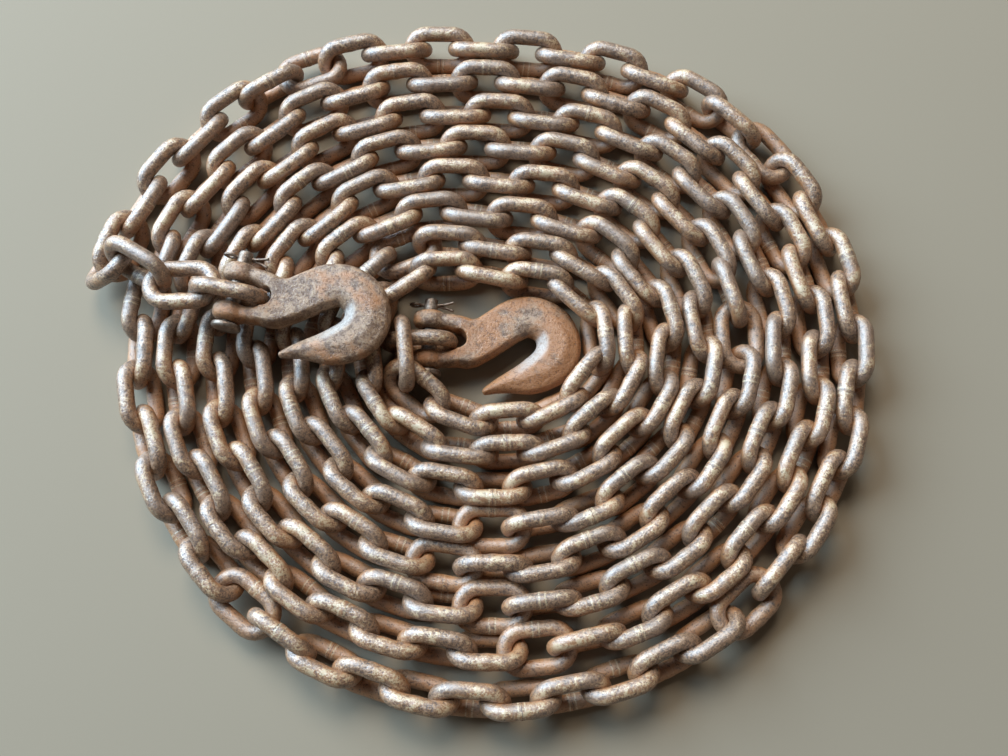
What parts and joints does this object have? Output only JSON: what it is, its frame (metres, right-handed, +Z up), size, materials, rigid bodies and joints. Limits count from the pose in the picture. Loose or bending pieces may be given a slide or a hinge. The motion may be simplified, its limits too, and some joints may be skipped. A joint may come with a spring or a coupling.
{
  "type": "coiled chain with clevis grab hooks",
  "caption": "Length of welded steel chain laid in a flat spiral coil, with a clevis grab hook on its outer end and another on its inner end.",
  "frame": {"origin": "centre of the coil's outline, on the floor", "axes": "+Z up, +X along the coil's longest width, with the outer hook on the -X side"},
  "size_m": [0.5196, 0.4612, 0.0641],
  "materials": {
    "chain_steel": "weathered and rusty, worn bright on the upper bars",
    "forged_steel": "rough forged, rusty",
    "pin_steel": "weathered"
  },
  "bodies": {
    "root": {"chain_run_01": "chain_steel", "chain_run_02": "chain_steel", "chain_run_03": "chain_steel", "chain_run_04": "chain_steel", "chain_run_05": "chain_steel", "chain_run_06": "chain_steel", "chain_run_07": "chain_steel", "chain_run_08": "chain_steel", "chain_run_09": "chain_steel", "chain_run_10": "chain_steel", "chain_run_11": "chain_steel", "chain_run_12": "chain_steel", "chain_run_13": "chain_steel", "chain_run_14": "chain_steel", "chain_run_15": "chain_steel", "chain_run_16": "chain_steel", "chain_run_17": "chain_steel", "chain_run_18": "chain_steel", "chain_run_19": "chain_steel", "chain_run_20": "chain_steel", "chain_run_21": "chain_steel", "chain_run_22": "chain_steel", "chain_run_23": "chain_steel", "chain_run_24": "chain_steel", "chain_run_25": "chain_steel", "chain_run_26": "chain_steel", "chain_run_27": "chain_steel", "chain_run_28": "chain_steel", "chain_run_29": "chain_steel", "chain_run_30": "chain_steel", "chain_run_31": "chain_steel", "chain_run_32": "chain_steel", "chain_run_33": "chain_steel", "chain_run_34": "chain_steel", "chain_run_35": "chain_steel", "chain_run_36": "chain_steel", "chain_run_37": "chain_steel", "chain_run_38": "chain_steel", "chain_run_39": "chain_steel", "chain_run_40": "chain_steel", "chain_run_41": "chain_steel", "chain_run_42": "chain_steel", "chain_run_43": "chain_steel", "chain_run_44": "chain_steel", "chain_run_45": "chain_steel", "chain_run_46": "chain_steel", "clevis_link_inner": "chain_steel", "clevis_link_outer": "chain_steel", "clevis_pin_inner": "pin_steel", "clevis_pin_outer": "pin_steel", "cotter_inner": "pin_steel", "cotter_outer": "pin_steel", "hook_inner": "forged_steel", "hook_outer": "forged_steel", "inner_link_inward": "chain_steel", "inner_link_last": "chain_steel", "inner_link_outward": "chain_steel", "outer_link_level": "chain_steel", "outer_link_rising": "chain_steel", "outer_link_steep": "chain_steel"}
  },
  "joints": []
}
